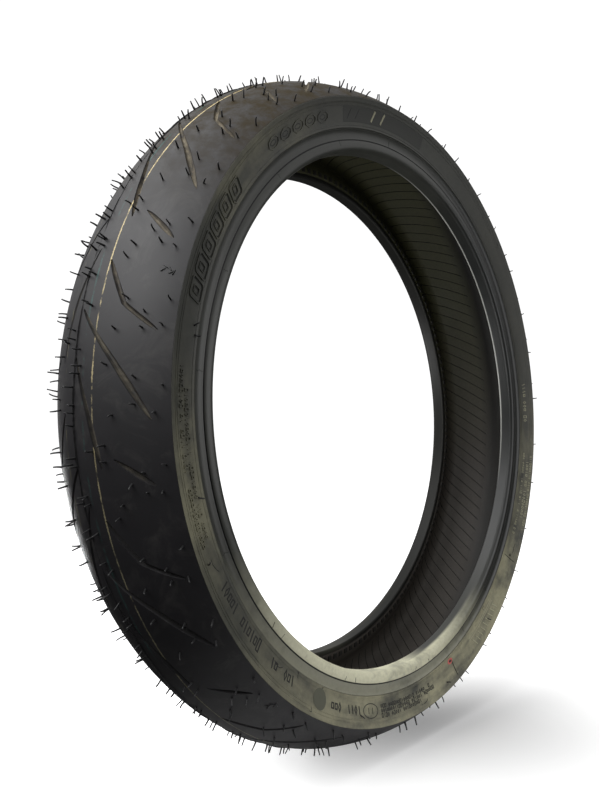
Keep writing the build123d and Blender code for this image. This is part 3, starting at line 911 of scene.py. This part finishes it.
# Corners as shares of a small shape's width and height, and whether its line is closed.
SMALL_SHAPES = (
    (((0.1, 0.0), (0.9, 0.0), (0.9, 1.0), (0.1, 1.0)), True),
    (((0.35, 0.0), (0.65, 1.0)), False),
    (((0.1, 0.5), (0.5, 0.0), (0.9, 0.5), (0.5, 1.0)), True),
    (((0.1, 0.2), (0.9, 0.2), (0.9, 0.8), (0.1, 0.8)), True),
)


def small_row(target, start, stop, low, high, gap, width, height, side, skip=0.12):
    """A row of small frames, bars and diamonds along the sidewall, with a few left out."""
    step = math.copysign(gap / MM_PER_DEGREE, stop - start)
    for index in range(int(abs((stop - start) / step))):
        if random.random() < skip:
            continue
        line, closed = random.choice(SMALL_SHAPES)
        place = start + index * step
        wall_strip(target, [
            (place + step * 0.72 * across, low + (high - low) * up) for across, up in line
        ], width, height, side, closed)


# Sunk lines and cracks: thin strips painted nearly black and matt, as painted shade in place of hollows.
painted_shade_mark_rubber = compound_material("sunk_mark_painted_shade_rubber", "#0b0b0a", "#191917", 0.60, 0.5, 0.03)
# The panel's mould was polished: a cleaner, darker and smoother face than the wall round it.
panel_rubber = compound_material("smooth_panel_rubber", "#242521", "#2e2f2a", 0.50, 0.9, 0.02)
# The oval stands proud, so dust greys its smooth top.
oval_rubber = compound_material("smooth_oval_rubber", "#4c4d40", "#5e5f50", 0.50, 0.9, 0.02)
# Raised marks that have rubbed on other things: pale, dry and rough.
label_rubber = compound_material("worn_raised_mark_rubber", "#8a8872", "#b0ad92", 0.65, 0.7, 0.04)
# A dab of red marking paint, faded to pink.
paint_dot = compound_material("red_balance_dot_paint", "#b04a44", "#d0706a", 0.50, 0.8, 0.02)

for side, side_name in ((-1, "right"), (1, "left")):
    random.seed(41)
    raised, sunk, panels, ovals, labels, dots = (([], []) for _ in range(6))
    # Two rows of big frames, one inside the other, in place of lettering.
    for index in range(6):
        start = 167.2 - index * 3.75
        outer = frame_line(start, start - 3.1, 237.2, 248.8, -0.5)
        inner = frame_line(start - 1.05, start - 2.15, 240.2, 245.8, -0.25)
        wall_strip(raised, outer, 1.1, 0.7, side, True)
        wall_strip(raised, inner, 0.9, 0.6, side, True)
        outer = frame_line(start - 0.28, start - 2.9, 238.2, 247.9, -0.42)
        inner = frame_line(start - 1.3, start - 1.95, 241.3, 244.8, -0.2)
        wall_strip(sunk, outer, 0.9, 0.08, side, True)
        wall_strip(sunk, inner, 0.8, 0.06, side, True)
    for index in range(5):
        start = 135.0 - index * 3.9
        outer = frame_line(start, start - 3.0, 240.2, 247.6, -0.3, 0.3)
        inner = frame_line(start - 0.75, start - 2.3, 242.4, 245.4, -0.1, 0.3)
        wall_strip(raised, outer, 1.0, 0.6, side, True)
        wall_strip(sunk, inner, 0.8, 0.06, side, True)
    # The smooth panel with two pale bars and two sunk ones.
    wall_patch(panels, 237.5, 252.0, 112.0, 83.0, side)
    for start in (102.0, 98.8):
        wall_strip(labels, [(start, 240.5), (start - 1.1, 249.0)], 2.2, 0.3, side)
    for start in (110.0, 107.4):
        wall_strip(sunk, [(start, 241.0), (start - 1.4, 248.6)], 0.8, 0.1, side)
    # Rows of small shapes: two raised ones at the rear, then groups of larger sunk ones.
    small_row(raised, 176.7, 203.5, 245.2, 248.4, 3.0, 0.7, 0.7, side)
    small_row(raised, 180.0, 203.0, 240.0, 243.2, 3.0, 0.7, 0.7, side)
    for start, stop, low, high in (
        (210.0, 215.4, 237.8, 245.8), (217.0, 223.6, 237.8, 246.2), (227.0, 229.8, 239.0, 246.2),
        (231.0, 235.0, 239.0, 246.2), (245.4, 249.0, 241.0, 247.0), (250.4, 255.0, 241.0, 247.0),
    ):
        small_row(sunk, start, stop, low, high, 4.6, 1.35, 0.15, side, 0.0)
    # The smooth oval, and a sunk ring with two bars in it.
    wall_oval(ovals, 241.8, 243.2, 1.9, 7.4, side, 0.35)
    wall_strip(sunk, [
        (257.6 + 2.3 * math.cos(2 * math.pi * t / 20), 244.5 + 5.2 * math.sin(2 * math.pi * t / 20))
        for t in range(20)
    ], 0.8, 0.12, side, True)
    wall_strip(sunk, [(257.0, 242.2), (257.0, 246.8)], 0.8, 0.12, side)
    wall_strip(sunk, [(258.2, 242.2), (258.2, 246.8)], 0.8, 0.12, side)
    # Three rows of small sunk shapes at the foot.
    for low, high, start, stop in (
        (247.6, 249.8, 261.0, 275.0), (244.2, 246.4, 261.0, 280.0), (240.8, 243.0, 261.0, 279.0),
    ):
        small_row(sunk, start, stop, low - 0.2, high + 0.2, 2.8, 0.85, 0.15, side)
    # The balance dot, two cracks across the wall, and the worn pale bars and rows beyond.
    wall_oval(dots, 288.0, 238.6, 1.0, 2.4, side, 0.3)
    wall_oval(sunk, 288.0, 238.6, 0.45, 1.1, side, 0.45)
    for turn in (288.6, 323.5):
        wall_strip(sunk, [(turn, 236.8), (turn, 254.0)], 0.6, 0.08, side)
    for index in range(9):
        start = 298.2 + index * 1.45
        wall_strip(labels, [(start, 244.2), (start + 0.7, 251.0)], 1.7, 0.4, side)
    for radius in (240.2, 242.0):
        wall_strip(labels, [(297.0 + 0.8 * step, radius) for step in range(18)], 0.7, 0.25, side)
    small_row(labels, 332.0, 352.0, 252.2, 254.4, 2.6, 0.5, 0.3, side)
    small_row(labels, 334.0, 350.0, 246.6, 250.2, 3.6, 0.6, 0.3, side)
    small_row(labels, 330.0, 352.0, 241.0, 243.2, 2.6, 0.5, 0.3, side)
    small_row(labels, 0.0, 11.0, 241.0, 245.6, 4.0, 0.7, 0.3, side)
    # Three fine raised rings round the whole wall.
    for radius in (252.9, 250.6, 236.4):
        wall_strip(raised, [(3.0 * step, radius) for step in range(120)], 0.5, 0.18, side, True)
    # Cracks: four placed across the heel, sixteen scattered round the bead, nine on the wall.
    for turn in (223.7, 252.0, 280.0, 311.0):
        wall_strip(sunk, [(turn + 0.1 * step, 221.0 + 0.9 * step) for step in range(5)], 0.7, 0.1, side)
    for index in range(16):
        turn = 22.5 * index + random.uniform(-5, 5)
        low, high = random.choice(((220.9, 224.9), (221.4, 224.6), (226.0, 231.5)))
        wall_strip(sunk, [
            (turn + random.uniform(-0.15, 0.15), low + (high - low) * step / 4) for step in range(5)
        ], 0.5, 0.08, side)
    for index in range(9):
        turn, radius = random.uniform(205, 330), random.uniform(236, 252)
        heading = random.uniform(0, 6.28)
        line = []
        for step in range(7):
            line.append((turn, min(254.0, max(235.0, radius))))
            turn += 0.45 * math.cos(heading)
            radius += 1.9 * math.sin(heading)
            heading += random.uniform(-0.15, 0.45)
        wall_strip(sunk, line, 0.65, 0.1, side)
    for name, mesh, finish in (
        ("raised_marks_", raised, sidewall_rubber), ("sunk_marks_", sunk, painted_shade_mark_rubber),
        ("smooth_panels_", panels, panel_rubber), ("smooth_oval_", ovals, oval_rubber),
        ("worn_label_marks_", labels, label_rubber), ("balance_dot_", dots, paint_dot),
    ):
        made = new_piece(name + side_name, *mesh, finish)
        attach(made, "root")


# ---- Inner liner ----------------------------------------------------------------------------
# The airtight butyl skin inside, rolled on to the inner ply before the tyre is cured. The curing
# bladder leaves slanting vent ridges from the crown down each wall, and a row of small raised
# blocks above each bead.

# Depths of its two faces under the tread's surface, and the carcass's bend under the shoulder.
LINER_DEPTH = 10.5
LINER_INSIDE = 11.5
BEND_DEPTH = 8.5
BEND_ARC = 17.0
BEND_START = math.radians(33)
BEND_STOP = math.radians(125.6)


def liner_outline(depth):
    """Half of the liner's shape at a depth: crown, shoulder bend and the run to the bead."""
    reach = FLANK_ARC - BEND_DEPTH - BEND_ARC
    centre = (
        flank_axis[0] + reach * math.cos(BEND_START), flank_axis[1] + reach * math.sin(BEND_START),
    )
    points = []
    for index in range(13):
        angle = BEND_START * index / 12
        middle, arc = ((centre_axis, 0.0), CENTRE_ARC) if angle <= CENTRE_TURN else (flank_axis, FLANK_ARC)
        points.append((
            middle[0] + (arc - depth) * math.cos(angle), middle[1] + (arc - depth) * math.sin(angle),
        ))
    bend = BEND_ARC + BEND_DEPTH - depth
    for index in range(1, 13):
        angle = BEND_START + (BEND_STOP - BEND_START) * index / 12
        points.append((centre[0] + bend * math.cos(angle), centre[1] + bend * math.sin(angle)))
    return points


half_inside = liner_outline(LINER_INSIDE) + [(227.35, 37.02), (220.5, 36.28)]
half_outside = liner_outline(LINER_DEPTH) + [(227.35, 38.2), (220.5, 37.4)]
outline = mirrored(half_inside[:0:-1], -1) + half_inside
outline += half_outside[::-1] + mirrored(half_outside[1:], -1)

# Butyl compound cured against a bladder: black-brown and dull. The left half is painted pale
# olive, a little greener high up, as painted light, and the right half keeps the dark rubber.
liner_rubber, tree, output = blank_material("butyl_liner_rubber")
point = add(tree, "TexCoord").outputs["Object"]
cloud = add(tree, "TexNoise", inputs={
    "Vector": point, "Scale": cells(40.0), "Detail": 7.0, "Roughness": 0.6,
}).outputs[0]
# The bladder's grain is under 1 mm, too fine to show in the shade inside, so it is drawn at 2 mm.
fine = add(tree, "TexNoise", inputs={
    "Vector": point, "Scale": cells(2.0), "Detail": 5.0, "Roughness": 0.7,
}).outputs[0]
colour = add(tree, "MixRGB", inputs={0: cloud, 1: linear("#151412"), 2: linear("#292723")}).outputs[0]
# Painted light: the left half is painted pale olive.
axial = add(tree, "SeparateXYZ", inputs={0: point}).outputs[1]
painted_light_left_half = add(tree, "MapRange", inputs={
    "Value": axial, "From Min": 0.0, "From Max": 0.014, "To Min": 0.0, "To Max": 0.85,
}).outputs[0]
height = add(tree, "SeparateXYZ", inputs={0: point}).outputs[2]
high = add(tree, "MapRange", inputs={"Value": height, "From Min": -0.05, "From Max": 0.15}).outputs[0]
dust = add(tree, "MixRGB", inputs={0: high, 1: linear("#46413b"), 2: linear("#48482e")}).outputs[0]
colour = add(tree, "MixRGB", inputs={0: painted_light_left_half, 1: colour, 2: dust}).outputs[0]
colour = add(tree, "MixRGB", {"blend_type": "OVERLAY"}, {0: 0.35, 1: colour, 2: fine}).outputs[0]
rough = add(tree, "MapRange", inputs={"Value": cloud, "To Min": 0.5, "To Max": 0.7}).outputs[0]
bump = add(tree, "Bump", inputs={"Strength": 0.5, "Distance": 0.0001, "Height": fine}).outputs[0]
shader = add(tree, "BsdfPrincipled", inputs={
    "Base Color": colour, "Roughness": rough, "Normal": bump, "IOR": 1.5,
})
tree.links.new(shader.outputs[0], output.inputs[0])
liner = turned_ring("inner_liner_rubber", outline, liner_rubber, RING_STEPS)
liner.modifiers.new("even_shading", "WEIGHTED_NORMAL")
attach(liner, "root")
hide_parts("inner_liner")

# Vent ridges follow the liner's shape from near the crown to above the blocks: each is a low
# roof, 0.55 mm high, that slants 9 degrees round the wheel in 60 mm.
RIDGE_COUNT = 132
RIDGE_SLANT = 9.0
RIDGE_HEIGHT = 0.55
RIDGE_HALF = 0.65
points, faces = [], []
for side, inner in ((1, 4), (-1, 10)):
    foot = mirrored(liner_outline(LINER_INSIDE - 0.3)[inner:22], side)
    crest = mirrored(liner_outline(LINER_INSIDE + RIDGE_HEIGHT)[inner:22], side)
    travel = [0.0]
    for here, after in zip(foot, foot[1:]):
        travel.append(travel[-1] + side * math.dist(here, after))
    for ridge in range(RIDGE_COUNT):
        start = len(points)
        for index in range(len(foot)):
            turn = math.radians(360 * ridge / RIDGE_COUNT + RIDGE_SLANT * travel[index] / 60)
            top = crest[index] if 0 < index < len(foot) - 1 else foot[index]
            for aside, (radius, axial) in (
                (-RIDGE_HALF, foot[index]), (0.0, top), (RIDGE_HALF, foot[index]),
            ):
                angle = turn + aside / 270
                points.append(Vector((radius * math.cos(angle), axial, radius * math.sin(angle))) * MM)
        for first in range(start, len(points) - 3, 3):
            for face in (
                (first, first + 1, first + 4, first + 3), (first + 1, first + 2, first + 5, first + 4),
            ):
                faces.append(face if side > 0 else face[::-1])
# Ridges are painted near black as painted shade, so they show as thin black lines.
ridge_painted_shade_rubber = compound_material("vent_ridge_painted_shade_rubber", "#0e0e0c", "#1c1b18", 0.55, 0.6, 0.03)
ridges = new_piece("liner_vent_ridges", points, faces, ridge_painted_shade_rubber)
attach(ridges, "root")

# The blocks stand on the straight wall above the bead, their sides leaning in a little.
BLOCK_COUNT = 176
BLOCK_HALF = 2.3
BLOCK_INNER = 222.2
BLOCK_OUTER = 226.9
BEAD_WALL_SLOPE = 0.108
block_middle = (BLOCK_INNER + BLOCK_OUTER) / 2
points, faces = [], []
for side in (-1, 1):
    for block in range(BLOCK_COUNT):
        first = len(points)
        for height, inset in ((0.15, 0.0), (-0.6, 0.35)):
            for across, edge in (
                (-BLOCK_HALF, BLOCK_INNER), (BLOCK_HALF, BLOCK_INNER),
                (BLOCK_HALF, BLOCK_OUTER), (-BLOCK_HALF, BLOCK_OUTER),
            ):
                shrink = 1 - inset / BLOCK_HALF
                radius = block_middle + (edge - block_middle) * shrink
                angle = math.radians(360 * block / BLOCK_COUNT) + across * shrink / 224
                axial = side * (36.28 + (radius - 220.5) * BEAD_WALL_SLOPE + height)
                points.append(Vector((radius * math.cos(angle), axial, radius * math.sin(angle))) * MM)
        faces += [tuple(first + 4 + i for i in range(4)), tuple(first + i for i in range(4))[::-1]]
        for i in range(4):
            after = first + (i + 1) % 4
            faces.append((first + i, after, after + 4, first + 4 + i))
# The same butyl as the liner, darkened by the shade between the blocks.
block_rubber = compound_material("bead_wall_block_rubber", "#141310", "#26241f", 0.55, 0.6, 0.03)
blocks = new_piece("bead_wall_blocks", points, faces, block_rubber)
tidy = bmesh.new()
tidy.from_mesh(blocks.data)
bmesh.ops.recalc_face_normals(tidy, faces=tidy.faces)
tidy.to_mesh(blocks.data)
tidy.free()
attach(blocks, "root")


# ---- Parting flash --------------------------------------------------------------------------
# A paper-thin ragged fin of rubber round the crown, squeezed out where the mould's halves met.

random.seed(17)
FLASH_STEPS = 900
points, faces = [], []
tall = 0.5
for index in range(FLASH_STEPS):
    tall = min(1.1, max(0.1, tall + random.uniform(-0.22, 0.22)))
    turn = 360 * index / FLASH_STEPS
    wander = 1.5 + 0.25 * math.sin(turn * 0.35) + random.uniform(-0.12, 0.12)
    tip = on_tread(turn, wander, -tall)
    tip.z = max(tip.z, floor_low + 0.0001)
    points += [on_tread(turn, wander - 0.35, 0.1), tip, on_tread(turn, wander + 0.35, 0.1)]
    first, after = index * 3, (index + 1) % FLASH_STEPS * 3
    faces += [
        (first, first + 1, after + 1, after), (first + 1, first + 2, after + 2, after + 1),
    ]
# Thin torn edges catch no light: a ragged black line.
flash_rubber = compound_material("torn_flash_rubber", "#0c0c0d", "#1d1c1e", 0.55, 0.5, 0.05)
flash = new_piece("crown_parting_flash", points, faces, flash_rubber)
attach(flash, "root")


# ---- Vent whiskers --------------------------------------------------------------------------
# Thin rubber hairs left by the mould's vent holes: a few round every groove, a row along each
# shoulder and pairs over the crown. Each one tapers and leans over a little.

# Where vents stand in one pitch: degrees from its start and distance from the crown line, and for
# the groups over the crown, how many stand together.
VENT_SITES = (
    (-15.9, 21.0), (-14.2, 20.5), (-15.4, 12.3), (-13.2, 58.5), (-12.4, 45.0), (-11.2, 37.0),
    (-9.8, 45.0), (-9.5, 54.0), (-8.6, 28.0), (-7.2, 25.0), (-2.0, 58.5), (-1.4, 32.6),
    (0.3, 44.5), (2.1, 56.0), (2.6, 44.5), (2.8, 26.5), (7.4, 23.2), (8.6, 42.0), (9.4, 58.5),
    (12.0, 41.8), (12.9, 54.0), (13.6, 27.3), (-0.3, 8.1), (4.8, 2.6), (-5.0, 4.5), (-10.0, 3.0),
)
CROWN_GROUPS = (
    (-14.5, 3.0, 2), (-9.8, -4.0, 2), (-5.6, 1.5, 2), (-1.0, -3.0, 1), (2.6, 5.0, 2), (7.0, -3.5, 2),
    (11.8, 1.5, 2),
)
WHISKER_SIDES = 5
WHISKER_RINGS = 5
WHISKER_LENGTH = 6.2

whisker_points, whisker_faces = [], []


def whisker(root, outward, length, thick, lean, curl):
    """One hair: a tapering tube from its root, leaning one way and curling at the tip."""
    first = len(whisker_points)
    aside = outward.orthogonal().normalized()
    spot, heading = root - outward * 0.0003, (outward + lean * 0.6).normalized()
    for ring in range(WHISKER_RINGS):
        share = ring / (WHISKER_RINGS - 1)
        wide = thick / 2 * (1.15 - 0.35 * share)
        cross_a = heading.cross(aside).normalized()
        cross_b = heading.cross(cross_a).normalized()
        for corner in range(WHISKER_SIDES):
            turn = 2 * math.pi * corner / WHISKER_SIDES
            around = spot + (cross_a * math.cos(turn) + cross_b * math.sin(turn)) * wide
            around.z = max(around.z, floor_low + 0.0001)
            whisker_points.append(around)
        spot = spot + heading * (length / (WHISKER_RINGS - 1))
        heading = (heading + curl * (0.25 + share)).normalized()
    for ring in range(WHISKER_RINGS - 1):
        for corner in range(WHISKER_SIDES):
            a = first + ring * WHISKER_SIDES + corner
            b = first + ring * WHISKER_SIDES + (corner + 1) % WHISKER_SIDES
            whisker_faces.append((a, b, b + WHISKER_SIDES, a + WHISKER_SIDES))
    top = first + (WHISKER_RINGS - 1) * WHISKER_SIDES
    whisker_faces.append(tuple(top + corner for corner in range(WHISKER_SIDES)))
    whisker_faces.append(tuple(first + corner for corner in range(WHISKER_SIDES))[::-1])


def tread_whisker(turn, run, length, bend=1.0):
    """A hair standing on the tread, shorter near the floor, and none where the tyre rests on it."""
    turn %= 360
    if abs(turn - 270) < 9 and abs(run) < 40:
        return
    root = on_tread(turn, run)
    outward = (root - on_tread(turn, run, 1.0)).normalized()
    lean = Vector([random.uniform(-1, 1) for _ in range(3)]) * 0.45 * bend
    lean -= outward * lean.dot(outward)
    curl = Vector([random.uniform(-1, 1) for _ in range(3)]) * 0.22 * bend
    reach = length * random.uniform(0.75, 1.15) * MM
    room = root.z + reach * (outward.z - 0.2) - floor_low
    if room < 0.002:
        reach = max(0.0015, reach + room)
    whisker(root, outward, reach, random.uniform(1.0, 1.35) * MM, lean, curl)


for side, shift in ((-1, 0.0), (1, LEFT_SHIFT)):
    start = FIRST_PITCH + shift
    for pitch in PITCHES:
        for turn, run in VENT_SITES:
            place = start + turn + random.uniform(-0.3, 0.3)
            tread_whisker(place, side * (run + random.uniform(-0.6, 0.6)), WHISKER_LENGTH)
        start += pitch
start = FIRST_PITCH
for pitch in PITCHES:
    for turn, run, count in CROWN_GROUPS:
        for index in range(count):
            place = start + turn + index + random.uniform(-0.1, 0.1)
            tread_whisker(place, run + random.uniform(-1, 1), WHISKER_LENGTH, 0.5)
    start += pitch

# A few hairs on the sidewalls, and two small tufts of torn threads that lie on the shoulder.
for side in (-1, 1):
    for turn, radius in (
        (170.6, 238.6), (171.9, 237.0), (205.7, 247.7), (254.3, 247.4), (284.4, 250.7), (324.2, 246.1),
        (196.0, 239.5), (306.0, 247.0),
    ):
        lean = Vector([random.uniform(-1, 1) for _ in range(3)]) * 0.9
        curl = Vector([random.uniform(-1, 1) for _ in range(3)]) * 0.4
        whisker(on_wall(turn, radius, side), Vector((0, side * 0.6, 0)), 4.2 * MM, 1.1 * MM, lean, curl)
for tuft_turn in (163.9, 231.6):
    for aside, run, ahead, across in (
        (0.0, -50.0, 0.5, -4.0), (0.1, -53.5, 0.9, -3.0), (0.4, -51.5, 0.6, 3.0), (0.9, -56.0, -0.8, 2.5),
        (0.5, -57.5, 0.7, 1.0), (1.1, -54.0, -0.5, -3.5),
    ):
        root = on_tread(tuft_turn + aside, run, -0.2)
        outward = (root - on_tread(tuft_turn + aside, run, 1.0)).normalized()
        along = (on_tread(tuft_turn + aside + ahead, run + across, -0.2) - root).normalized()
        whisker(root, outward * 0.12, 3.6 * MM, 0.6 * MM, along * 1.6, -outward * 0.1)

# The tread's own rubber drawn thin: black hairs with a faint gleam along them.
whisker_rubber = compound_material("vent_whisker_rubber", "#171718", "#343435", 0.4, 0.4, 0.02)
whiskers = new_piece("vent_whiskers", whisker_points, whisker_faces, whisker_rubber)
for face in whiskers.data.polygons:
    face.use_smooth = True
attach(whiskers, "root")
